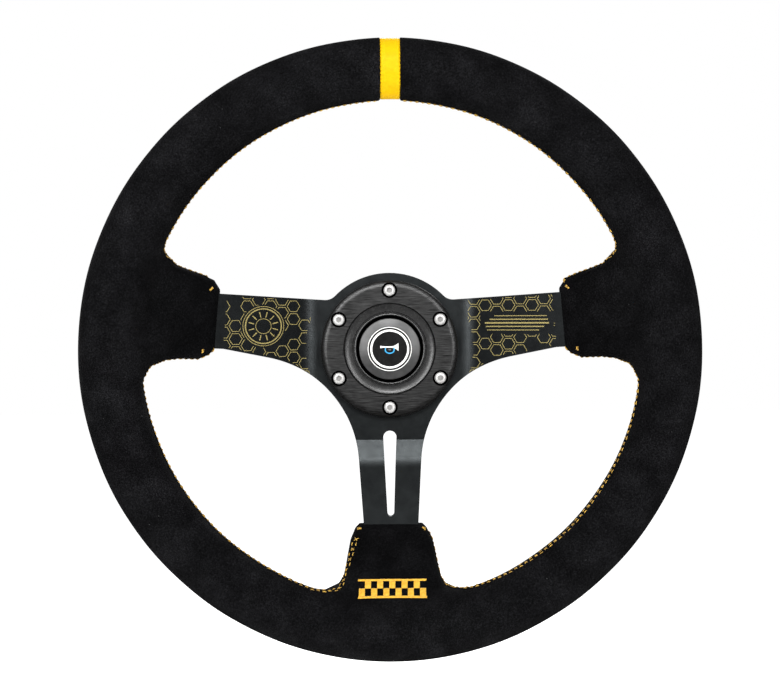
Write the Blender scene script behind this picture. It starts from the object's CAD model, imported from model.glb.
import math

import bmesh
import bpy
import numpy as np
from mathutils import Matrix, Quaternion, Vector

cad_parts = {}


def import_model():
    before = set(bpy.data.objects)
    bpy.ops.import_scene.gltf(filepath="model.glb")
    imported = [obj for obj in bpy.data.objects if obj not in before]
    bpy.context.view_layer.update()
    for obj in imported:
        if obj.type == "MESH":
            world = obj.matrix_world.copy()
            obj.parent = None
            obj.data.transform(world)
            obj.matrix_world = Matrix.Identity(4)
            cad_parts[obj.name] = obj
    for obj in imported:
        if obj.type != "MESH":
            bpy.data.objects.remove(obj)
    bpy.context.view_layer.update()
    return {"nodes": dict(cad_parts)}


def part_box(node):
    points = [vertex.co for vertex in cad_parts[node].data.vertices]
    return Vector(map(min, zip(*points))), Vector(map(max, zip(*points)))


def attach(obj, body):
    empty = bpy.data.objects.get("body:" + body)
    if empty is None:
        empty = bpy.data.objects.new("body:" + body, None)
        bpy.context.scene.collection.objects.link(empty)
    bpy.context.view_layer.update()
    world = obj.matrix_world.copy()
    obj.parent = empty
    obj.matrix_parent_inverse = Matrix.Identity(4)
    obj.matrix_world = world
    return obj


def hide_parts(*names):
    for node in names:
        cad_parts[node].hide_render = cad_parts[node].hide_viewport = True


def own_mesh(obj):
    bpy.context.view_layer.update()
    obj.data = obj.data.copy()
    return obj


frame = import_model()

# Shapes are worked out on the bench: X right, Y up, Z towards the driver from the socket's mouth,
# in millimetres. world() stands them up in the row frame, in metres.
MM = 0.001


def world(points):
    """Bench points in the row frame, in metres."""
    p = np.asarray(points, float)
    return np.stack([p[..., 0], -p[..., 2], p[..., 1]], -1) * MM


def bench_box(node):
    """Lowest and highest corner of a CAD node, on the bench."""
    lo, hi = (np.array(c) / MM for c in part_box(node))
    return np.array([lo[0], lo[2], -hi[1]]), np.array([hi[0], hi[2], -lo[1]])


# ---- Sizes, from the frame where it has them ------------------------------------------------

SUEDE_LO, SUEDE_HI = bench_box("suede_wrap")
BAND_LO, BAND_HI = bench_box("centre_band")
PLATE_FRONT, RING_FRONT = (corner[2] for corner in bench_box("horn_ring"))
SCREW_TOP = bench_box("cap_screws")[1][2]

# The rim's section is a stadium: RIM_W wide in plan, with ends of radius RIM_R.
RIM_W = 34.4
RIM_OUT = SUEDE_HI[0]
RIM_CR = RIM_OUT - RIM_W / 2
RIM_MID = (BAND_LO[2] + BAND_HI[2]) / 2
RIM_R = SUEDE_HI[2] - RIM_MID
RIM_FLAT = RIM_W / 2 - RIM_R
RIM_IN = RIM_OUT - RIM_W
BAND_HALF = BAND_HI[0]
DISH = RIM_MID - PLATE_FRONT

# The spoke plate's thickness and the radius of its side bends. Each spoke's ramp starts at its
# bend and would reach the rim's mid-plane at RAMP_REACH.
PLATE_T = 4.0
BEND_R = 24.0
RAMP_REACH = 155.3
SIDE_BEND = 47.0
FOOT_BEND = 62.0

# Plan of the suede pads over the spokes' ends: across the bench for the side pads, and
# (half width, distance below the axis) for the bottom pad.
SIDE_PAD = [
    (98.6, 35.4), (102, 41), (106.5, 43), (115, 46), (122, 48.8), (128, 56), (138, 66),
    (152.5, 20), (147, -14), (139.7, -12), (136, -7.5), (129, -4.5), (122, -3.8), (111, -4.2),
    (106, -2.2), (101.5, 1.5),
]
FOOT_PAD_HALF = [
    (18.5, 101.7), (21, 104.2), (23.7, 110.6), (24.8, 116), (26.2, 123.3), (27.6, 129.6),
    (30.5, 134), (40, 138), (30, 152.5),
]

# Suede over the plate at a pad's end, how far the pads' faces lie under the rim's, and where the
# pads end, from the axis.
PAD_LIP = 2.6
PAD_SINK = 2.5
SIDE_PAD_END = 97.0
FOOT_PAD_END = 101.0

# Rounding between a pad's front and back, round its plan and where it meets the rim, and the
# height of the slow waves in the hand-wrapped suede.
NOSE_ROUND = 3.0
EDGE_ROUND = 5.0
RIM_BLEND = 7.0
WAVE = 0.1

# Bare face of a side spoke, at u from the axis: its upper edge rises by UPPER_RISE from UPPER_AT,
# and its lower edge is a straight line beyond CORNER_U and a curve down towards the boss inside it.
UPPER_RISE, UPPER_AT = 0.062, 27
LOWER_RISE, LOWER_AT = 0.222, -20.53
CORNER_U, CORNER_Y, CORNER_CURVE = 73, -4.3, 0.021


def ramp_height(bend, u):
    """Depth of a spoke's front face at distance u from the axis, on its ramp."""
    return PLATE_FRONT + (u - bend) * DISH / (RAMP_REACH - bend)


def side_face(u, lift):
    """Where a side spoke's front face is at distance u from the axis, lifted off it: (u, depth)."""
    angle = math.atan(DISH / (RAMP_REACH - SIDE_BEND))
    start = SIDE_BEND - BEND_R * math.tan(angle / 2)
    turn = np.arcsin(np.clip((u - start) / BEND_R, 0, math.sin(angle)))
    depth = PLATE_FRONT + BEND_R * (1 - np.cos(turn))
    past = np.maximum(u - start - BEND_R * math.sin(angle), 0)
    return u - lift * np.sin(turn), depth + past * math.tan(angle) + lift * np.cos(turn)


# ---- The suede's shape as a distance field --------------------------------------------------

def smooth_max(a, b, k):
    """The larger value, rounded over where the two come within k of each other."""
    h = np.maximum(k - np.abs(a - b), 0) / k
    return np.maximum(a, b) + h * h * k / 4


def smooth_min(a, b, k):
    return -smooth_max(-a, -b, k)


def polygon_distance(corners, x, y):
    """Signed distance to a closed outline, negative inside."""
    best = np.full(np.shape(x), np.inf)
    inside = np.zeros(np.shape(x), bool)
    for (ax, ay), (bx, by) in zip(corners, corners[1:] + corners[:1]):
        ex, ey = bx - ax, by - ay
        wx, wy = x - ax, y - ay
        t = np.clip((wx * ex + wy * ey) / (ex * ex + ey * ey), 0, 1)
        best = np.minimum(best, (wx - t * ex) ** 2 + (wy - t * ey) ** 2)
        crosses = ((ay > y) != (by > y)) & (x < ex * (y - ay) / (ey if ey else 1e-9) + ax)
        inside ^= crosses
    return np.where(inside, -1, 1) * np.sqrt(best)


def pad_faces(bend, end):
    """Slopes of a pad's front and back, which leave its end for the rim's round section."""
    centre = np.array([RIM_CR - RIM_FLAT, RIM_MID])
    radius = RIM_R - PAD_SINK
    slopes = []
    back_drop = PLATE_T * math.hypot(1, DISH / (RAMP_REACH - bend)) + PAD_LIP
    for height, side in ((PAD_LIP, 1), (-back_drop, -1)):
        v = centre - [end, ramp_height(bend, end) + height]
        slopes.append(math.atan2(v[1], v[0]) + side * math.asin(radius / np.hypot(*v)))
    return slopes


SIDE_SLOPES = pad_faces(SIDE_BEND, SIDE_PAD_END)
FOOT_SLOPES = pad_faces(FOOT_BEND, FOOT_PAD_END)
FOOT_PAD = [(x, -y) for x, y in FOOT_PAD_HALF] + [(-x, -y) for x, y in FOOT_PAD_HALF[::-1]]


def pad_distance(plan, slopes, u, depth):
    """A pad: its plan, cut by its front and back faces."""
    du, dz = u - (RIM_CR - RIM_FLAT), depth - RIM_MID
    front = -math.sin(slopes[0]) * du + math.cos(slopes[0]) * dz - (RIM_R - PAD_SINK)
    back = math.sin(slopes[1]) * du - math.cos(slopes[1]) * dz - (RIM_R - PAD_SINK)
    return smooth_max(plan, smooth_max(front, back, NOSE_ROUND), EDGE_ROUND)


def plan_distances(x, y):
    return polygon_distance(SIDE_PAD, np.abs(x), y), polygon_distance(FOOT_PAD, x, y)


def suede_distance(x, y, depth, plans=None):
    """Distance to the wrapped rim with its three pads, negative inside."""
    side, foot = plan_distances(x, y) if plans is None else plans
    reach = np.maximum(np.abs(np.hypot(x, y) - RIM_CR) - RIM_FLAT, 0)
    rim = np.hypot(reach, depth - RIM_MID) - RIM_R
    pads = np.minimum(
        pad_distance(side, SIDE_SLOPES, np.abs(x), depth),
        pad_distance(foot, FOOT_SLOPES, -y, depth),
    )
    waves = np.sin(x * 0.11 + 1.3) * np.sin(y * 0.093 + 0.4) + 0.6 * np.sin(x * 0.041 - y * 0.057)
    return smooth_min(rim, pads, RIM_BLEND) + WAVE * waves


def suede_normal(p):
    """Direction of the field's slope, from differences over e on either side."""
    e = 0.05
    grad = []
    for axis in range(3):
        step = np.zeros(3)
        step[axis] = e
        a, b = p + step, p - step
        grad.append(suede_distance(*np.moveaxis(a, -1, 0)) - suede_distance(*np.moveaxis(b, -1, 0)))
    grad = np.stack(grad, -1)
    return grad / np.maximum(np.linalg.norm(grad, axis=-1, keepdims=True), 1e-9)


def onto_suede(p, steps=3):
    """Moves points along the field's slope until they lie on the suede."""
    for _ in range(steps):
        p = p - suede_normal(p) * suede_distance(*np.moveaxis(p, -1, 0))[..., None]
    return p


def surface_net(values, origin, step):
    """Quads of a sampled field's zero surface, with one vertex in each cell that it crosses."""
    solid = values < 0
    n = solid.shape
    total = sum(
        solid[i:n[0] - 1 + i, j:n[1] - 1 + j, k:n[2] - 1 + k].astype(np.int8)
        for i in (0, 1) for j in (0, 1) for k in (0, 1)
    )
    mixed = (total > 0) & (total < 8)
    index = np.full(mixed.shape, -1)
    index[mixed] = np.arange(mixed.sum())
    points = origin + (np.argwhere(mixed) + 0.5) * step
    faces = []
    for axis in range(3):
        s = np.moveaxis(solid, [axis, (axis + 1) % 3, (axis + 2) % 3], [0, 1, 2])
        cells = np.moveaxis(index, [axis, (axis + 1) % 3, (axis + 2) % 3], [0, 1, 2])
        low, high = s[:-1, 1:-1, 1:-1], s[1:, 1:-1, 1:-1]
        for outward in (True, False):
            i, j, k = np.nonzero((low & ~high) if outward else (~low & high))
            quad = [cells[i, j, k], cells[i, j + 1, k], cells[i, j + 1, k + 1], cells[i, j, k + 1]]
            faces.append(np.stack(quad if outward else quad[::-1], -1))
    return points, np.concatenate(faces)


def relaxed(points, faces, rounds):
    """Evens out a net by pulling each vertex to its neighbours' mean and back onto the suede."""
    edges = np.concatenate([faces[:, [i, (i + 1) % 4]] for i in range(4)])
    count = np.bincount(edges[:, 0], minlength=len(points))[:, None]
    pull = 0.6
    for _ in range(rounds):
        total = np.stack(
            [np.bincount(edges[:, 0], points[edges[:, 1], a], len(points)) for a in range(3)], -1)
        points = onto_suede((1 - pull) * points + pull * total / np.maximum(count, 1), 1)
    return onto_suede(points, 2)


# ---- Mesh helpers ---------------------------------------------------------------------------

def add_mesh(name, points, faces, material, slot, body="root", smooth=True):
    """A piece from bench points and faces, riding on a CAD body."""
    mesh = bpy.data.meshes.new(name)
    mesh.from_pydata(world(points).tolist(), [], [list(map(int, f)) for f in faces])
    mesh.validate()
    mesh.polygons.foreach_set("use_smooth", [smooth] * len(mesh.polygons))
    mesh.materials.append(material)
    obj = bpy.data.objects.new(name, mesh)
    bpy.context.scene.collection.objects.link(obj)
    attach(obj, body)
    return obj


def grid_faces(rows, columns, wrap=False):
    """Quads of a grid of points, row by row; wrap joins each row's last column to its first."""
    a = np.arange(rows * columns).reshape(rows, columns)
    b = np.roll(a, -1, axis=1) if wrap else a[:, 1:]
    a = a if wrap else a[:, :-1]
    return np.stack([a[:-1], b[:-1], b[1:], a[1:]], -1).reshape(-1, 4)


def unit(v):
    return v / np.maximum(np.linalg.norm(v, axis=-1, keepdims=True), 1e-9)


def threads(paths, ups, radius, sides=10, twist=0.0, ply=0.0):
    """Tubes along many paths of the same length: points and faces, with capped ends.
    ply makes the section two-stranded, and twist turns it along the way, in turns."""
    count, steps = paths.shape[:2]
    tangent = unit(np.gradient(paths, axis=1))
    side = unit(np.cross(ups, tangent))
    up = np.cross(tangent, side)
    angle = 2 * math.pi * np.arange(sides) / sides
    turn = 2 * math.pi * twist * np.linspace(0, 1, steps)[:, None]
    r = radius * (1 - ply + ply * np.abs(np.cos(angle[None] - turn)))
    x, y = r * np.cos(angle), r * np.sin(angle)
    ring = (paths[:, :, None] + side[:, :, None] * x[None, :, :, None]
            + up[:, :, None] * y[None, :, :, None])
    faces = grid_faces(steps, sides, wrap=True)
    cap = [list(range(sides))[::-1], [(steps - 1) * sides + k for k in range(sides)]]
    starts = np.arange(count) * steps * sides
    quads = (faces[None] + starts[:, None, None]).reshape(-1, 4).tolist()
    caps = [[s + k for k in c] for s in starts for c in cap]
    return ring.reshape(-1, 3), quads + caps


# ---- Materials ------------------------------------------------------------------------------

# Axes that Paint.by_distance measures along: depth from the socket's mouth, or radius.
DEPTH, RADIUS = (0, 1, 0), (1, 0, 1)


class Paint:
    """A material under construction: a Principled shader and short ways to feed it."""

    def __init__(self, name, color, rough, metallic=0.0, **sockets):
        self.mat = bpy.data.materials.new(name)
        self.mat.use_nodes = True
        self.nodes, self.links = self.mat.node_tree.nodes, self.mat.node_tree.links
        self.shader = next(n for n in self.nodes if n.type == "BSDF_PRINCIPLED")
        self.put("Base Color", (*color, 1))
        self.put("Roughness", rough)
        self.put("Metallic", metallic)
        for key, value in sockets.items():
            self.put(key.replace("_", " "), value)
        self.coords = self.nodes.new("ShaderNodeTexCoord").outputs["Object"]
        self.bumped = None

    def put(self, socket, value):
        self.shader.inputs[socket].default_value = value

    def stretched(self, scale):
        """Coordinates multiplied along each axis, for grain that runs one way."""
        node = self.nodes.new("ShaderNodeMapping")
        node.inputs["Scale"].default_value = scale
        self.links.new(self.coords, node.inputs["Vector"])
        return node.outputs["Vector"]

    def noise(self, size, detail=3.0, rough=0.5, at=None):
        """Noise with features of that size, in millimetres."""
        node = self.nodes.new("ShaderNodeTexNoise")
        node.inputs["Scale"].default_value = 1 / (size * MM)
        node.inputs["Detail"].default_value = detail
        node.inputs["Roughness"].default_value = rough
        self.links.new(at or self.coords, node.inputs["Vector"])
        return node.outputs["Fac"]

    def cells(self, size):
        """Distance to the nearest of points scattered at that spacing, in millimetres."""
        node = self.nodes.new("ShaderNodeTexVoronoi")
        node.inputs["Scale"].default_value = 1 / (size * MM)
        self.links.new(self.coords, node.inputs["Vector"])
        return node.outputs["Distance"]

    def ramp(self, fac, stops):
        """A colour ramp from (position, grey or colour) stops."""
        node = self.nodes.new("ShaderNodeValToRGB")
        ramp = node.color_ramp
        for i, (where, value) in enumerate(stops):
            if i < len(ramp.elements):
                stop = ramp.elements[i]
            else:
                stop = ramp.elements.new(where)
            stop.position = where
            stop.color = (*value, 1) if isinstance(value, tuple) else (value, value, value, 1)
        self.links.new(fac, node.inputs["Fac"])
        return node.outputs["Color"]

    def math(self, kind, a, b):
        node = self.nodes.new("ShaderNodeMath")
        node.operation = kind
        for socket, value in zip(node.inputs, (a, b)):
            if isinstance(value, (int, float)):
                socket.default_value = value
            else:
                self.links.new(value, socket)
        return node.outputs["Value"]

    def by_distance(self, axes, stops, reach=60):
        """A value from (millimetres, value) stops, measured along the axes given, up to reach."""
        node = self.nodes.new("ShaderNodeVectorMath")
        node.operation = "LENGTH"
        self.links.new(self.stretched(axes), node.inputs[0])
        part = self.math("MULTIPLY", node.outputs["Value"], 1 / (reach * MM))
        return self.ramp(part, [(mm / reach, value) for mm, value in stops])

    def feed(self, socket, output):
        self.links.new(output, self.shader.inputs[socket])
        return self

    def bump(self, height, strength, distance):
        """Bump of that height in millimetres; several calls add up."""
        node = self.nodes.new("ShaderNodeBump")
        node.inputs["Strength"].default_value = strength
        node.inputs["Distance"].default_value = distance * MM
        self.links.new(height, node.inputs["Height"])
        if self.bumped:
            self.links.new(self.bumped, node.inputs["Normal"])
        self.bumped = node.outputs["Normal"]
        return self.feed("Normal", self.bumped)


def grey(v):
    return (v, v, v)


def suede_material():
    """Black nap, patchy, with specks of lint, and greyer on the rim than on the pads."""
    p = Paint("suede", grey(0.012), 0.95, Specular_IOR_Level=0.02, Sheen_Weight=0.004,
              Sheen_Roughness=0.5)
    nap = p.noise(0.8, 5, 0.72)
    patches = p.noise(17, 3, 0.55)
    both = p.math("ADD", p.math("MULTIPLY", nap, 0.74), p.math("MULTIPLY", patches, 0.26))
    lint = p.math("MULTIPLY", p.math("LESS_THAN", p.cells(13), 0.022), 0.35)
    rubbed = p.math("MULTIPLY", p.by_distance(RADIUS, [(124, 0.0), (144, 1.0)], 200), 0.05)
    p.feed("Base Color", p.ramp(p.math("ADD", p.math("ADD", both, lint), rubbed), [
        (0.42, (0.0009, 0.0009, 0.0010)), (0.54, (0.0029, 0.0029, 0.0032)),
        (0.66, (0.0084, 0.0084, 0.0093)), (0.95, (0.045, 0.045, 0.046))]))
    p.bump(patches, 0.3, 0.8)
    p.bump(nap, 0.8, 0.35)
    return p.mat


def band_material():
    p = Paint("band_leather", (0.56, 0.32, 0.001), 0.42, Specular_IOR_Level=0.06)
    p.feed("Base Color", p.ramp(p.noise(3, 3), [
        (0.3, (0.53, 0.305, 0.0005)), (0.7, (0.58, 0.345, 0.0008))]))
    p.bump(p.cells(0.55), 0.35, 0.12)
    return p.mat


def thread_material():
    p = Paint("seam_thread", (0.75, 0.5, 0.07), 0.6, Specular_IOR_Level=0.3, Sheen_Weight=0.2)
    p.feed("Base Color", p.ramp(p.noise(1.6, 3), [(0.35, (0.22, 0.12, 0.010)), (0.65, (0.58, 0.34, 0.04))]))
    p.bump(p.noise(0.12, 2), 0.4, 0.05)
    return p.mat


def embroidery_material():
    p = Paint("satin_thread", (0.95, 0.6, 0.08), 0.42, Specular_IOR_Level=0.4, Sheen_Weight=0.15)
    p.feed("Base Color", p.ramp(p.noise(1.2, 3), [(0.3, (0.58, 0.30, 0.012)), (0.7, (0.78, 0.46, 0.045))]))
    p.bump(p.noise(0.12, 2), 0.3, 0.04)
    return p.mat


def plate_material():
    """Satin black anodising with a faint mottle."""
    p = Paint("anodised_plate", grey(0.05), 0.36, 0.9, Specular_IOR_Level=0.4)
    p.feed("Base Color", p.ramp(p.noise(9, 3), [(0.3, (0.019, 0.021, 0.022)), (0.7, (0.027, 0.030, 0.031))]))
    p.feed("Roughness", p.ramp(p.noise(2.5, 4), [(0.3, 0.31), (0.7, 0.36)]))
    p.bump(p.noise(0.25, 2), 0.12, 0.03)
    return p.mat


def brushed_material():
    """Black anodising brushed across the ring, darker down its edge and in its counterbores."""
    p = Paint("brushed_ring", grey(0.1), 0.3, 0.9, Specular_IOR_Level=0.4)
    lit = p.by_distance(DEPTH, [(RING_FRONT - 3.3, 0.0), (RING_FRONT - 2.2, 0.8), (RING_FRONT - 0.6, 1.0)])
    streaks = p.math("MULTIPLY", p.noise(0.5, 4, 0.65, p.stretched((0.05, 1, 1))), lit)
    p.feed("Base Color", p.ramp(streaks, [
        (0.02, grey(0.002)), (0.32, grey(0.014)), (0.68, grey(0.078))]))
    p.feed("Roughness", p.ramp(streaks, [(0.3, 0.26), (0.7, 0.42)]))
    p.bump(streaks, 0.5, 0.05)
    return p.mat


def metal_material(name, color, rough, size=0.6, strength=0.1, metallic=1.0, sunk=None):
    """Bare metal. sunk is (depth, brightness) stops that darken it in the screws' sockets."""
    p = Paint(name, color, rough, metallic)
    fleck = p.noise(size, 3)
    mottle = p.noise(6, 4)
    if sunk:
        mottle = p.math("MULTIPLY", mottle, p.by_distance(DEPTH, sunk))
    dull, bright = tuple(0.82 * c for c in color), tuple(min(1, 1.08 * c) for c in color)
    p.feed("Base Color", p.ramp(mottle, [(0.02, grey(0.01)), (0.3, dull), (0.7, bright)]))
    p.feed("Roughness", p.ramp(fleck, [(0.3, 0.85 * rough), (0.7, 1.2 * rough)]))
    p.bump(fleck, strength, 0.03)
    return p.mat


def plastic_material(name, color, rough, size=0.35, strength=0.12, wear=0.15, gap=None):
    """Moulded plastic. gap is (radius, brightness) stops that blacken the gap round the horn cap."""
    gloss = 0.45
    p = Paint(name, color, rough, Specular_IOR_Level=gloss)
    grain = p.noise(size, 3)
    dull, bright = tuple(0.75 * c for c in color), tuple(1.25 * c for c in color)
    mottle = p.noise(4, 3)
    if gap:
        lit = p.by_distance(RADIUS, gap)
        p.feed("Specular IOR Level", p.math("MULTIPLY", lit, gloss))
        mottle = p.math("MULTIPLY", mottle, lit)
    p.feed("Base Color", p.ramp(mottle, [(0.05, grey(0.001)), (0.3, dull), (0.7, bright)]))
    p.feed("Roughness", p.ramp(p.noise(2, 2), [(0.3, (1 - wear) * rough), (0.7, (1 + wear) * rough)]))
    p.bump(grain, strength, 0.04)
    return p.mat


def ink_material(name, color, rough=0.45):
    p = Paint(name, color, rough, Specular_IOR_Level=0.3)
    faded = tuple(0.8 * c for c in color)
    p.feed("Base Color", p.ramp(p.noise(0.5, 3), [(0.3, faded), (0.6, color)]))
    return p.mat


# Where the horn button's finishes go black, as radii: below the bezel's lip and past the cap's edge.
LIP_FOOT, LIP_CREST = 20.0, 20.35
CAP_EDGE, CAP_SIDE = 18.0, 18.2


def painted_cad():
    """A finish for every CAD node that stays visible."""
    sockets = [(SCREW_TOP - 1.48, 0.4), (SCREW_TOP - 1.4, 0.12), (SCREW_TOP - 0.7, 1.0)]
    brass = metal_material("contact_brass", (0.78, 0.52, 0.22), 0.3)
    balls = metal_material("ball_steel", (0.72, 0.72, 0.74), 0.12)
    finishes = {
        "spoke_plate": plate_material(),
        "rim_hoop": metal_material("hoop_steel", grey(0.2), 0.45),
        "spoke_rivets": metal_material("rivet_steel", grey(0.5), 0.35),
        "horn_ring": brushed_material(),
        "cap_screws": metal_material("screw_steel", (0.94, 0.92, 0.90), 0.22, 0.8, 0.03, 0.6, sockets),
        "horn_bezel": plastic_material("bezel_plastic", grey(0.016), 0.27, 1.5, 0.002, 0.03,
                                       [(LIP_FOOT, 0.0), (LIP_CREST, 1.0)]),
        "horn_base": plastic_material("base_plastic", grey(0.02), 0.5),
        "horn_cap": plastic_material("cap_plastic", grey(0.036), 0.3, 1.5, 0.004, 0.04,
                                     [(CAP_EDGE, 1.0), (CAP_SIDE, 0.0)]),
        "horn_emblem": plastic_material("emblem_gloss", grey(0.008), 0.16, 1.0, 0.03),
        "qr_hub": metal_material("hub_aluminium", (0.62, 0.63, 0.65), 0.32, 0.25, 0.25),
        "qr_collar": metal_material("collar_black", grey(0.07), 0.38, 0.3, 0.2),
        "snap_ring": metal_material("ring_steel", grey(0.16), 0.35),
        "contact_insulator": plastic_material("insulator", (0.72, 0.70, 0.62), 0.45),
        "horn_lead": plastic_material("lead_red", (0.42, 0.02, 0.015), 0.4),
    }
    for name in ("moving_contact", "fixed_contact", "horn_terminal", "ground_washer", "contact_pin",
                 "contact_plug"):
        finishes[name] = brass
    for name in frame["nodes"]:
        if name.startswith("lock_ball"):
            finishes[name] = balls
    for name, material in finishes.items():
        mesh = frame["nodes"][name].data
        mesh.materials.clear()
        mesh.materials.append(material)


SUEDE = suede_material()
THREAD = thread_material()
EMBROIDERY = embroidery_material()
SPRING_STEEL = metal_material("spring_steel", (0.42, 0.43, 0.45), 0.28)


# ---- The suede and the centre mark ----------------------------------------------------------

def suede_cover():
    """The suede over rim and pads as one mesh, in place of the CAD's suede and foam."""
    step = 1.4
    lo, hi = SUEDE_LO - 4 * step, SUEDE_HI + 4 * step
    axes = [np.arange(a, b, step) for a, b in zip(lo, hi)]
    x, y = np.meshgrid(axes[0], axes[1], indexing="ij")
    plans = [d[:, :, None] for d in plan_distances(x, y)]
    values = suede_distance(x[:, :, None], y[:, :, None], axes[2][None, None], plans)
    points, faces = surface_net(values, lo, step)
    points = relaxed(points, faces, 3)
    obj = add_mesh("suede_cover", points, faces, SUEDE, "suede")
    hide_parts("suede_wrap", "rim_foam", "right_pad_foam", "left_pad_foam", "foot_pad_foam")
    return obj


def top_faces(bm, middle, half):
    """Faces at the top of the rim whose centres lie within half of x = middle, in metres."""
    centres = ((f, f.calc_center_median()) for f in bm.faces)
    return [f for f, c in centres if c.z > 0 and abs(c.x - middle) < half]


def cut_for_band(obj):
    """Parts the suede at the centre mark and rolls both cut edges in under the surface."""
    half = BAND_HALF * MM
    bm = bmesh.new()
    bm.from_mesh(obj.data)
    for side in (-1, 1):
        near = top_faces(bm, side * half, 10 * MM)
        geom = list({v for f in near for v in f.verts}) + list({e for f in near for e in f.edges}) + near
        bmesh.ops.bisect_plane(bm, geom=geom, plane_co=(side * half, 0, 0), plane_no=(1, 0, 0))
    bmesh.ops.delete(bm, geom=top_faces(bm, 0, half), context="FACES")
    rim = [e for e in bm.edges if e.is_boundary]
    rolled = ((0.22, 0.08), (0.16, 0.22), (0.08, 0.4), (0.0, 1.2))
    for towards, down in rolled:
        made = bmesh.ops.extrude_edge_only(bm, edges=rim)["geom"]
        fresh = [g for g in made if isinstance(g, bmesh.types.BMVert)]
        at = np.array([[v.co.x, v.co.z, -v.co.y] for v in fresh]) / MM
        inward = -suede_normal(at)
        at = at + inward * down - np.sign(at[:, :1]) * [[towards, 0, 0]]
        for v, co in zip(fresh, world(at)):
            v.co = co
        rim = [g for g in made if isinstance(g, bmesh.types.BMEdge)]
    bmesh.ops.holes_fill(bm, edges=rim, sides=0)
    bmesh.ops.recalc_face_normals(bm, faces=bm.faces)
    for f in bm.faces:
        f.smooth = True
    bm.to_mesh(obj.data)
    bm.free()


def section_point(along):
    """Point and outward normal of the rim's section at a distance round it, from its inner side:
    (radius from the axis, depth) and (radial, depthwise)."""
    quarter, flat = math.pi * RIM_R / 2, 2 * RIM_FLAT
    full = 4 * quarter + 2 * flat
    a = np.mod(along, full)
    breaks = np.array([0, quarter, quarter + flat, 3 * quarter + flat, 3 * quarter + 2 * flat, full])
    angle = np.interp(a, breaks, [math.pi, math.pi / 2, math.pi / 2, -math.pi / 2, -math.pi / 2, -math.pi])
    shift = np.interp(a, breaks, [-RIM_FLAT, -RIM_FLAT, RIM_FLAT, RIM_FLAT, -RIM_FLAT, -RIM_FLAT])
    normal = np.stack([np.cos(angle), np.sin(angle)], -1)
    return np.stack([RIM_CR + shift, np.full_like(a, RIM_MID)], -1) + RIM_R * normal, normal, full


def centre_mark():
    """Leather band with scalloped edges, a little below the suede's surface."""
    columns, per_scallop, pitch = 17, 8, 2.35
    clearance, wave = 0.18, 0.16
    under, hem, hem_slope = 0.35, 0.86, 9.1
    full = section_point(np.zeros(1))[2]
    scallops = round(full / pitch)
    along = np.linspace(0, full, scallops * per_scallop, endpoint=False)
    point, normal, _ = section_point(along)
    v = np.linspace(-1, 1, columns)
    scallop = np.cos(2 * math.pi * scallops * along / full)[None]
    x = v[:, None] * (BAND_HALF - clearance + wave * scallop)
    sink = under + hem_slope * np.maximum(np.abs(v) - hem, 0)[:, None] * (1 - 0.25 * scallop)
    radius = point[None, :, 0] - sink * normal[None, :, 0]
    depth = point[None, :, 1] - sink * normal[None, :, 1]
    points = np.stack([x, np.sqrt(radius ** 2 - x ** 2), depth + 0 * x], -1).reshape(-1, 3)
    faces = grid_faces(columns, len(along), wrap=True)[:, ::-1]
    obj = add_mesh("centre_mark", points, faces, band_material(), "band_yellow")
    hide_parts("centre_band")


# ---- The hand-sewn seam ---------------------------------------------------------------------

# Each window's seam: a point inside the window, the angles round it where the seam starts and
# ends, and how far the seam is turned towards the driver, in degrees, at even steps between.
SEAMS = {
    "upper": ((0, 62), (-13, 193), (20, 4, 2, 2, 3, 0, 1, -3, -4, -3, -4, 0, 15)),
    "right": ((70, -70), (66, -147), (6, -4, 4, 10, 14, 16, 17, 16, 13, 7, 1, 4)),
    "left": ((-70, -70), (114, 327), (14, -20, -16, -6, -2, 0, 0, 0, 2, 14, 66, 74)),
}

# Half the distance between the rows of stitches, the length in which the stitches repeat, the
# height of the seam's folded lips, how far they reach to either side, and the thread's radius.
ROW = 1.4
PERIOD = 6.8
LIP = 0.62
LIP_REACH = 3.4
THREAD_R = 0.31


def last_inside(inside, near, far, rounds=40):
    """Bisects arrays of places between near, where inside() holds, and far, where it doesn't."""
    near, far = np.array(near, float), np.array(far, float)
    for _ in range(rounds):
        mid = (near + far) / 2
        held = inside(mid)
        near, far = np.where(held, mid, near), np.where(held, far, mid)
    return near


def window_edge(centre, angles):
    """The window's edge in plan, from rays sent out of its centre; even steps along it."""
    a = np.radians(np.linspace(*angles, 700))
    ray = np.stack([np.cos(a), np.sin(a)])

    def at(reach):
        return np.array(centre)[:, None] + reach * ray

    reach = last_inside(lambda r: plan_edge(*at(r)) >= 0, np.full(a.shape, 5), np.full(a.shape, 190))
    return even_steps(at(reach).T, 0.5)


def plan_edge(x, y):
    """Distance in plan to the suede round a window, positive inside the window."""
    side, foot = plan_distances(x, y)
    return smooth_min(RIM_IN - np.hypot(x, y), np.minimum(side, foot), RIM_BLEND)


def even_steps(path, step):
    """The path's points again, at even distances of about step."""
    s = np.concatenate([[0], np.cumsum(np.linalg.norm(np.diff(path, axis=0), axis=1))])
    at = np.linspace(0, s[-1], max(2, round(s[-1] / step)))
    return np.stack([np.interp(at, s, path[:, i]) for i in range(path.shape[1])], -1)


def smoothed(path, rounds):
    for _ in range(rounds):
        path = np.concatenate([path[:1], (path[:-2] + 2 * path[1:-1] + path[2:]) / 4, path[-1:]])
    return path


def pad_middle(x, y, side, foot):
    """Depth of the middle of the spoke plate inside the nearer pad."""
    bend = np.where(side < foot, SIDE_BEND, FOOT_BEND)
    u = np.where(side < foot, np.abs(x), -y)
    return ramp_height(bend, u) - PLATE_T / 2


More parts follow.
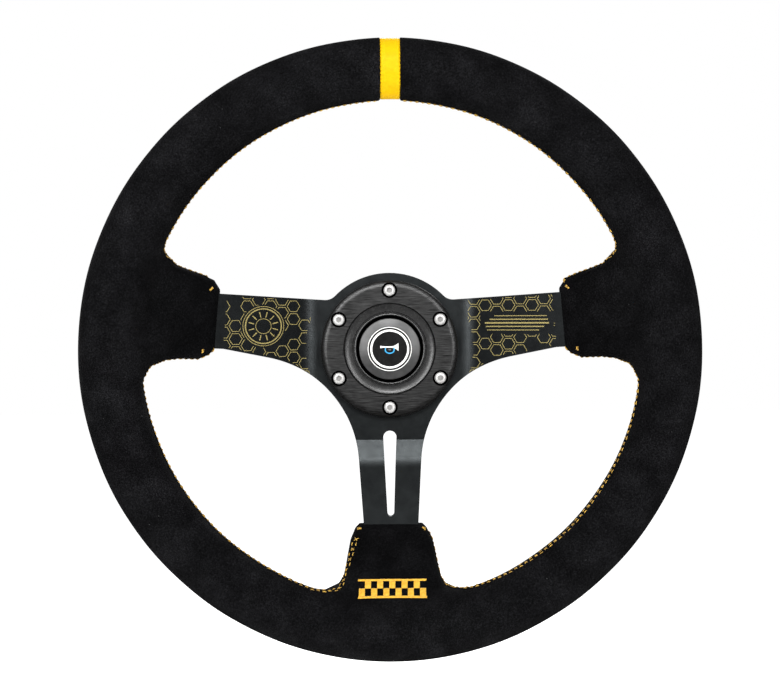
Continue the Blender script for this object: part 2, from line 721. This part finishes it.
def seam_core(x, y, out):
    """A line inside the suede behind the window's edge: mid-section on the rim, and the middle of
    the plate in the pads, with an even change between them."""
    ahead, change, pad_inset = 8, 20, 5
    side, foot = plan_distances(x, y)
    pad = np.clip((RIM_IN - np.hypot(x, y) - np.minimum(side, foot) + ahead) / change, 0, 1)
    pad = pad * pad * (3 - 2 * pad)
    inset = RIM_R * (1 - pad) + pad_inset * pad
    depth = RIM_MID * (1 - pad) + pad_middle(x, y, side, foot) * pad
    return np.stack([x - out[:, 0] * inset, y - out[:, 1] * inset, depth], -1)


def seam_line(name):
    """The seam's middle line on the suede, with its normals and the direction across it."""
    centre, angles, turns = SEAMS[name]
    x, y = window_edge(centre, angles).T
    e = 0.1
    out = unit(np.stack([plan_edge(x + e, y) - plan_edge(x - e, y),
                         plan_edge(x, y + e) - plan_edge(x, y - e)], -1))
    core = seam_core(x, y, out)
    turn = np.radians(np.interp(np.linspace(0, 1, len(x)), np.linspace(0, 1, len(turns)), turns))
    way = np.column_stack([out * np.cos(turn)[:, None], np.sin(turn)])
    reach = last_inside(lambda r: suede_distance(*(core + way * r[:, None]).T) < 0,
                        np.zeros(len(x)), np.full(len(x), 24))
    line = onto_suede(even_steps(smoothed(core + way * reach[:, None], 12), 0.5))
    normal = suede_normal(line)
    across = unit(np.cross(normal, np.gradient(line, axis=0)))
    return line, normal, across * np.sign(across[:, 2].mean())


def on_seam(seam, s, t, height):
    """A point s along the seam, t across it and height off the suede, in millimetres."""
    line, _, across = seam
    length = np.linalg.norm(np.diff(line, axis=0), axis=1).sum()
    at = np.clip(s / length, 0, 1) * (len(line) - 1)
    steps = np.arange(len(line))
    base = np.stack([np.interp(at, steps, line[:, i]) for i in range(3)], -1)
    side = np.stack([np.interp(at, steps, across[:, i]) for i in range(3)], -1)
    p = onto_suede(base + side * t[..., None], 2)
    normal = suede_normal(p)
    return p + normal * height[..., None], normal


def lip_height(s, t):
    """The two folded edges stand up beside the butt joint, and dip where the thread goes in."""
    crest, width = 1.2, 0.75
    ridge = np.exp(-((np.abs(t) - crest) / width) ** 2) - 0.35 * np.exp(-(t / 0.3) ** 2)
    hole = np.mod(s + PERIOD / 4, PERIOD / 2) - PERIOD / 4
    pull = 1 - 0.5 * np.exp(-(hole / 0.7) ** 2) * np.exp(-((np.abs(t) - ROW) / 0.6) ** 2)
    return LIP * ridge * pull - 0.07 * (np.abs(t) / LIP_REACH) ** 4


def seam_threads(seam, count):
    """In each period: a straight stitch on either row, then a crossed pair between the rows."""
    u = np.linspace(0, 1, 12)
    dive = np.sin(math.pi * u) ** 0.4
    sunk, straight, crossed = 0.55, 1.15, 0.95
    over = 0.3 * np.exp(-((u - 0.5) / 0.2) ** 2)
    first = 0.5 * PERIOD * (0.12 + 0.76 * u)
    second = 0.5 * PERIOD + first
    plans = [
        (first, -0.85 * ROW + 0 * u, straight * dive),
        (first, 0.85 * ROW + 0 * u, straight * dive),
        (second, ROW * (2 * u - 1), crossed * dive),
        (second, ROW * (1 - 2 * u), crossed * dive + over),
    ]
    made = []
    for s, t, height in plans:
        s = np.arange(count)[:, None] * PERIOD + s[None]
        made.append(on_seam(seam, s, np.broadcast_to(t, s.shape), np.broadcast_to(height - sunk, s.shape)))
    return [np.concatenate(part) for part in zip(*made)]


def seam_lips(seam, count):
    """The folded edges as a strip along the seam, left out under the centre mark."""
    s = np.linspace(0, count * PERIOD, count * 12 + 1)
    t = np.linspace(-LIP_REACH, LIP_REACH, 19)
    ss, tt = np.meshgrid(s, t, indexing="ij")
    taper = np.clip(np.minimum(ss, s[-1] - ss) / 1.5, 0, 1)
    points, _ = on_seam(seam, ss, tt, lip_height(ss, tt) * taper - 0.1 * (1 - taper))
    points = points.reshape(-1, 3)
    faces = grid_faces(len(s), len(t))
    clear = (np.abs(points[faces][:, :, 0]).min(1) > BAND_HALF) | (points[faces][:, :, 1].mean(1) < 0)
    corner = points[faces[0]]
    normal = np.cross(corner[1] - corner[0], corner[2] - corner[1])
    if normal @ seam[1][0] < 0:
        faces = faces[:, ::-1]
    return points, faces[clear]


def sewn_seams():
    """Folded lips and stitching round each of the three windows."""
    for name in SEAMS:
        seam = seam_line(name)
        length = np.linalg.norm(np.diff(seam[0], axis=0), axis=1).sum()
        count = int((length - 1) // PERIOD)
        add_mesh(f"seam_lips_{name}", *seam_lips(seam, count), SUEDE, "suede")
        paths, ups = seam_threads(seam, count)
        keep = (np.abs(paths[:, :, 0]).min(1) > BAND_HALF) | (paths[:, 0, 1] < 0)
        tubes, tube_faces = threads(paths[keep], ups[keep], THREAD_R, twist=1.5, ply=0.3)
        add_mesh(f"seam_thread_{name}", tubes, tube_faces, THREAD, "band_yellow")


# Where each seam is tied off on the pads' corners: the two ends of a short stitch, in plan.
TIES = [
    ((-19.8, -104.3), (-17.4, -104.0)), ((20.0, -104.9), (18.2, -103.7)),
    ((101.8, 36.9), (103.3, 35.2)), ((107.6, 1.4), (108.0, -0.6)),
    ((-102.2, 36.7), (-103.8, 35.0)), ((-107.8, 1.0), (-108.2, -0.8)),
]


def end_ties():
    """Two turns of thread over each place where a seam ends."""
    u = np.linspace(0, 1, 12)
    proud, sunk, thick = 0.6, 0.3, 0.36
    paths = []
    for a, b in np.array(TIES):
        aside = np.array([a[1] - b[1], b[0] - a[0]]) / np.hypot(*(b - a)) * THREAD_R
        for shift in (-aside, aside):
            plan = a + (b - a) * u[:, None] + shift * (1 - 0.5 * u[:, None])
            paths.append(np.column_stack([plan, front_of_suede(*plan.T)]))
    paths = onto_suede(np.array(paths))
    normal = suede_normal(paths)
    paths = paths + normal * (proud * np.sin(math.pi * u) ** 0.4 - sunk)[None, :, None]
    points, faces = threads(paths, normal, thick, twist=1.0, ply=0.3)
    add_mesh("seam_ties", points, faces, THREAD, "band_yellow")


# ---- Embroidery, etching and the horn button's emblem ---------------------------------------

def front_of_suede(x, y):
    """Depth of the suede's front face at points in plan."""
    plans = plan_distances(x, y)
    return last_inside(lambda depth: suede_distance(x, y, depth, plans) < 0,
                       pad_middle(x, y, *plans), np.full(x.shape, SUEDE_HI[2] + 5))


def patch_stitches():
    """Both ends of every stitch of the patch, in plan: the squares' first, then the borders'."""
    columns, cell, pitch, middle = 11, 3.45, 0.42, -134.1
    half, border = columns * cell / 2, 0.42
    stitches = []
    for row in (0, 1):
        for column in range(row, columns, 2):
            x0, y0 = column * cell - half, middle + (row - 1) * cell
            for x in x0 + np.arange(0.2, cell, pitch):
                stitches.append(((x, y0 - 0.1), (x + 0.12, y0 + cell + 0.1)))
    for y in (middle - cell - 0.55, middle + cell + 0.55):
        for x in np.arange(-half - 0.3, half + 0.3, pitch):
            stitches.append(((x, y - border), (x + 0.3, y + border)))
    return np.moveaxis(np.array(stitches), 1, 0)


def checkered_patch():
    """Two rows of satin-stitched squares between two stitched borders, on the bottom pad."""
    a, b = patch_stitches()
    u = np.linspace(0, 1, 9)
    plan = a[:, None] * (1 - u[None, :, None]) + b[:, None] * u[None, :, None]
    height = 0.55 * np.sin(math.pi * u) ** 0.35 - 0.25
    depth = front_of_suede(plan[..., 0], plan[..., 1])
    paths = np.concatenate([plan, depth[..., None]], -1)
    normal = suede_normal(paths)
    paths = paths + normal * height[None, :, None]
    points, faces = threads(paths, normal, 0.27, sides=8, twist=0.5, ply=0.2)
    add_mesh("checkered_patch", points, faces, EMBROIDERY, "band_yellow")


def on_plate(x, y):
    """True where a side spoke's face is bare: inside its edges and clear of the pad and ring."""
    u = np.abs(x)
    margin, off_pad, off_ring = 0.9, 4.0, 50
    line = LOWER_RISE * u + LOWER_AT
    curve = CORNER_Y - CORNER_CURVE * (CORNER_U - u) ** 2
    upper = y < UPPER_RISE * u + UPPER_AT - margin
    lower = y > np.where(u > CORNER_U, line, curve) + margin
    off = (polygon_distance(SIDE_PAD, u, y) > off_pad) & (np.hypot(x, y) > off_ring)
    return upper & lower & off & (u > SIDE_BEND)


def ribbon(path, width, face, closed=False, keep=None, step=0.6):
    """A flat line of that width along a path in plan, laid on a surface by face()."""
    if closed:
        path = np.concatenate([path, path[:1]])
    path = even_steps(np.asarray(path, float), step)
    along = unit(np.gradient(path, axis=0))
    side = np.stack([-along[:, 1], along[:, 0]], -1) * np.reshape(width, (-1, 1)) / 2
    lanes = np.linspace(-1, 1, 3)
    plan = path[:, None] + side[:, None] * lanes[None, :, None]
    faces = grid_faces(len(path), len(lanes))
    plan = plan.reshape(-1, 2)
    if keep is not None:
        faces = faces[keep(plan[:, 0], plan[:, 1])[faces].all(1)]
    return face(plan), faces


def joined(parts):
    """Several (points, faces) as one."""
    points, faces, offset = [], [], 0
    for p, f in parts:
        points.append(p)
        faces.append(np.asarray(f) + offset)
        offset += len(p)
    return np.concatenate(points), np.concatenate(faces)


# How far etched and printed lines stand off the face under them.
INK_T = 0.03


def etched_face(plan):
    """Points in plan, laid on the side spokes' front face."""
    u, depth = side_face(np.abs(plan[:, 0]), INK_T)
    return np.stack([np.sign(plan[:, 0]) * u, plan[:, 1], depth], -1)


def upwards(points, faces):
    """Turns every face so that it looks towards the driver."""
    faces = np.asarray(faces)
    a, b, c = (points[faces[:, i]] for i in (0, 1, 2))
    down = np.cross(b - a, c - b)[:, 2] < 0
    faces[down] = faces[down][:, ::-1]
    return points, faces


def etching(side, clear_of):
    """Honeycomb outlines on a side spoke, with some cells left out, around its centre motif."""
    rng = np.random.default_rng(7 if side > 0 else 11)
    size, gap, line, left_out = 4.4, 0.75, 0.34, 0.16
    tall = size * math.sqrt(3)
    parts = []

    def keep(x, y):
        return on_plate(x, y) & clear_of(x, y)

    for row in range(-4, 9):
        for column in range(12):
            draw = rng.random()
            x = 44 + column * size * 1.5
            y = -20 + (row + (column % 2) / 2) * tall
            if draw < left_out:
                continue
            corners = [(side * (x + (size - gap) * math.cos(a)), y + (size - gap) * math.sin(a))
                       for a in np.radians(np.arange(0, 360, 60))]
            made = ribbon(corners, line, etched_face, closed=True, keep=keep)
            if len(made[1]):
                parts.append(made)
    return parts


def circle(centre, radius, count=96):
    a = np.linspace(0, 2 * math.pi, count, endpoint=False)
    return np.stack([centre[0] + radius * np.cos(a), centre[1] + radius * np.sin(a)], -1)


def left_etching():
    """Three rings with twelve rays between them, in the honeycomb."""
    centre = np.array([-74.5, 14.0])

    def clear(x, y):
        return np.hypot(x - centre[0], y - centre[1]) > 12.6

    parts = etching(-1, clear)
    for radius, width in ((11.6, 0.36), (10.2, 0.7), (4.4, 0.36)):
        parts.append(ribbon(circle(centre, radius), width, etched_face, closed=True))
    for a in np.radians(np.arange(15, 375, 30)):
        way = np.array([math.cos(a), math.sin(a)])
        parts.append(ribbon([centre + way * 5.4, centre + way * 8.6], 0.6, etched_face))
    return upwards(*joined(parts))


def right_etching():
    """Five slanting stripes in the honeycomb."""
    centre = np.array([75.0, 15.2])
    half = np.array([20.5, 6.4])

    def clear(x, y):
        return (np.abs(x - centre[0]) > half[0]) | (np.abs(y - centre[1]) > half[1])

    parts = etching(1, clear)
    for k, width in ((-4.2, 0.45), (-2.1, 0.65), (0, 0.9), (2.1, 0.65), (4.2, 0.45)):
        reach = half[0] - 2.5 - 0.8 * abs(k)
        path = [centre + (-reach + 0.5 * k, k), centre + (reach + 0.5 * k, k)]
        parts.append(ribbon(path, width, etched_face, keep=on_plate))
    return upwards(*joined(parts))


def etched_spokes():
    """Faint gold etching on both side spokes."""
    gold = ink_material("laser_etching", (0.25, 0.205, 0.07), 0.5)
    for name, made in (("left", left_etching()), ("right", right_etching())):
        add_mesh(f"etching_{name}", made[0], made[1], gold, "plate_black", smooth=False)


def emblem_marks():
    """A double ring and the usual bugle sign, printed on the horn button's domed face."""
    top = bench_box("horn_emblem")[1][2]

    def dome(plan):
        r = np.hypot(plan[:, 0], plan[:, 1])
        drop = np.interp(r, [0, 8, 12.7, 13.3], [0, 0.1, 0.35, 0.65])
        return np.concatenate([plan, (top - drop + INK_T)[:, None]], -1)

    def mark(path, width, closed=False):
        return ribbon(path, width, dome, closed=closed, step=0.25)

    bell = even_steps(np.array([(0.4, 1.2), (5.2, 1.2)]), 0.25)
    flare = 0.8 + 3.8 * np.linspace(0, 1, len(bell)) ** 2.2
    white = [
        mark(circle((0, 0), 11.0), 1.2, True),
        mark(circle((0, 0), 12.9), 0.5, True),
        mark([(-5.0, 1.2), (0.5, 1.2)], 0.8),
        mark(bell, flare),
        mark([(-5.3, 0.5), (-5.3, 1.9)], 0.6),
    ]
    loop = [(2.6 * math.cos(math.pi + a), -0.8 + 1.7 * math.sin(math.pi + a))
            for a in np.linspace(0, math.pi, 16)]
    blue = [mark([(-2.6, 1.2)] + loop + [(2.6, 1.2)], 0.65)]
    ink = ink_material("emblem_white", (0.82, 0.82, 0.80))
    accent = ink_material("emblem_blue", (0.03, 0.32, 0.62))
    for name, parts, material in (("emblem_marks", white, ink), ("emblem_accent", blue, accent)):
        points, faces = upwards(*joined(parts))
        add_mesh(name, points, faces, material, "emblem", body="horn_cap", smooth=False)


# ---- Springs --------------------------------------------------------------------------------

def coil(name, node, wire, turns):
    """A wound wire with closed ends in place of the CAD spring; it closes up as its joint moves."""
    lo, hi = bench_box(node)
    radius = (hi[0] - lo[0]) / 2 - wire / 2
    bottom, top = lo[2] + wire / 2, hi[2] - wire / 2
    steps = int(turns * 40)
    u = np.linspace(0, 1, steps)
    closed = 0.75 / turns
    rise = np.clip((u - closed) / (1 - 2 * closed), 0, 1)
    dead = 0.85 * wire
    pitch = bottom + dead * np.clip(u / closed, 0, 1) + (top - bottom - 2 * dead) * rise
    pitch = pitch + dead * np.clip((u - 1 + closed) / closed, 0, 1)
    a = 2 * math.pi * turns * u
    path = np.stack([radius * np.cos(a), radius * np.sin(a), pitch], -1)[None]
    ups = np.broadcast_to([0.0, 0.0, 1.0], path.shape)
    points, faces = threads(path, ups, wire / 2, sides=12)
    obj = add_mesh(name, points, faces, SPRING_STEEL, "spring_steel")
    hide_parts(node)
    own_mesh(obj)


def springs():
    """The three springs as wound wire, each kept to the length that its joint's travel leaves."""
    for node, wire, turns, joint in (("qr_spring", 1.4, 6.0, "collar_pull"),
                                     ("horn_spring", 1.0, 5.5, "horn_press"),
                                     ("contact_spring", 0.5, 5.5, "contact_press")):
        coil("wound_" + node, node, wire, turns)


# ---- Camera, lights and floor ---------------------------------------------------------------

def camera():
    """At the photograph's distance and angle, a touch left of and above the wheel's axis."""
    data = bpy.data.cameras.new("camera")
    data.sensor_width = 36.0
    data.lens = 67.6
    obj = bpy.data.objects.new("camera", data)
    bpy.context.scene.collection.objects.link(obj)
    target = Vector((-0.0007, -RIM_MID * MM, 0.0006))
    side, rise, reach = math.radians(1.0), math.radians(1.4), 0.822
    back = Vector((-math.sin(side) * math.cos(rise), -math.cos(side) * math.cos(rise), math.sin(rise)))
    obj.location = target + back * reach
    obj.rotation_mode = "QUATERNION"
    roll = Quaternion((0, 0, 1), math.radians(-0.3))
    obj.rotation_quaternion = (-back).to_track_quat("-Z", "Y") @ roll
    bpy.context.scene.camera = obj


def soft_light(name, at, size, power, aim=(0, -0.08, 0)):
    """A rectangular lamp: place and size in metres, power in watts."""
    data = bpy.data.lights.new(name, "AREA")
    data.shape = "RECTANGLE"
    data.size, data.size_y = size
    data.energy = power
    obj = bpy.data.objects.new(name, data)
    bpy.context.scene.collection.objects.link(obj)
    obj.location = at
    obj.rotation_mode = "QUATERNION"
    obj.rotation_quaternion = (Vector(aim) - Vector(at)).to_track_quat("-Z", "Y")
    return obj


def floor():
    """A pale sheet well below the wheel, left out of its reflections."""
    half, drop = 6.0, -0.45
    mesh = bpy.data.meshes.new("studio_floor")
    corners = [(-half, -half, drop), (half, -half, drop), (half, half, drop), (-half, half, drop)]
    mesh.from_pydata(corners, [], [(0, 1, 2, 3)])
    p = Paint("studio_floor", grey(0.85), 0.9, Specular_IOR_Level=0.0, Emission_Strength=0.9)
    p.put("Emission Color", (1, 1, 1, 1))
    mesh.materials.append(p.mat)
    obj = bpy.data.objects.new("studio_floor", mesh)
    bpy.context.scene.collection.objects.link(obj)
    obj.visible_glossy = False


def surround():
    """Plain white to the camera, and a dim dome, brighter overhead, to everything it lights."""
    world_data = bpy.data.worlds.new("studio")
    bpy.context.scene.world = world_data
    world_data.use_nodes = True
    nodes, links = world_data.node_tree.nodes, world_data.node_tree.links
    shown = nodes["Background"]
    shown.inputs["Color"].default_value = (1, 1, 1, 1)
    shown.inputs["Strength"].default_value = 1.0
    lighting = nodes.new("ShaderNodeBackground")
    lighting.inputs["Color"].default_value = (1, 1, 1, 1)
    split = nodes.new("ShaderNodeSeparateXYZ")
    links.new(nodes.new("ShaderNodeTexCoord").outputs["Generated"], split.inputs["Vector"])
    dome = nodes.new("ShaderNodeMapRange")
    dome.interpolation_type = "SMOOTHSTEP"
    for socket, value in zip(("From Min", "From Max", "To Min", "To Max"), (0.1, 0.8, 0.08, 0.3)):
        dome.inputs[socket].default_value = value
    links.new(split.outputs["Z"], dome.inputs["Value"])
    links.new(dome.outputs["Result"], lighting.inputs["Strength"])
    path = nodes.new("ShaderNodeLightPath")
    mix = nodes.new("ShaderNodeMixShader")
    links.new(path.outputs["Is Camera Ray"], mix.inputs["Fac"])
    links.new(lighting.outputs["Background"], mix.inputs[1])
    links.new(shown.outputs["Background"], mix.inputs[2])
    links.new(mix.outputs["Shader"], nodes["World Output"].inputs["Surface"])


def studio():
    """White surround, pale floor and soft lights."""
    view = bpy.context.scene.view_settings
    view.view_transform = "Standard"
    view.look = "None"
    surround()
    soft_light("left_box", (-0.50, -1.15, 0.30), (0.2, 0.8), 8)
    soft_light("right_box", (0.52, -1.15, 0.25), (0.2, 0.7), 5.5)
    soft_light("top_box", (-0.02, -1.08, 0.52), (0.45, 0.16), 6)
    soft_light("rear", (0.4, 1.2, 0.7), (1.0, 0.8), 16)
    soft_light("rear_left", (-0.9, 0.9, 0.2), (0.5, 0.8), 7)
    soft_light("overhead", (-0.1, -0.5, 1.3), (1.2, 1.2), 14).visible_glossy = False
    floor()


camera()
studio()
painted_cad()
cut_for_band(suede_cover())
centre_mark()
sewn_seams()
end_ties()
checkered_patch()
etched_spokes()
emblem_marks()
springs()
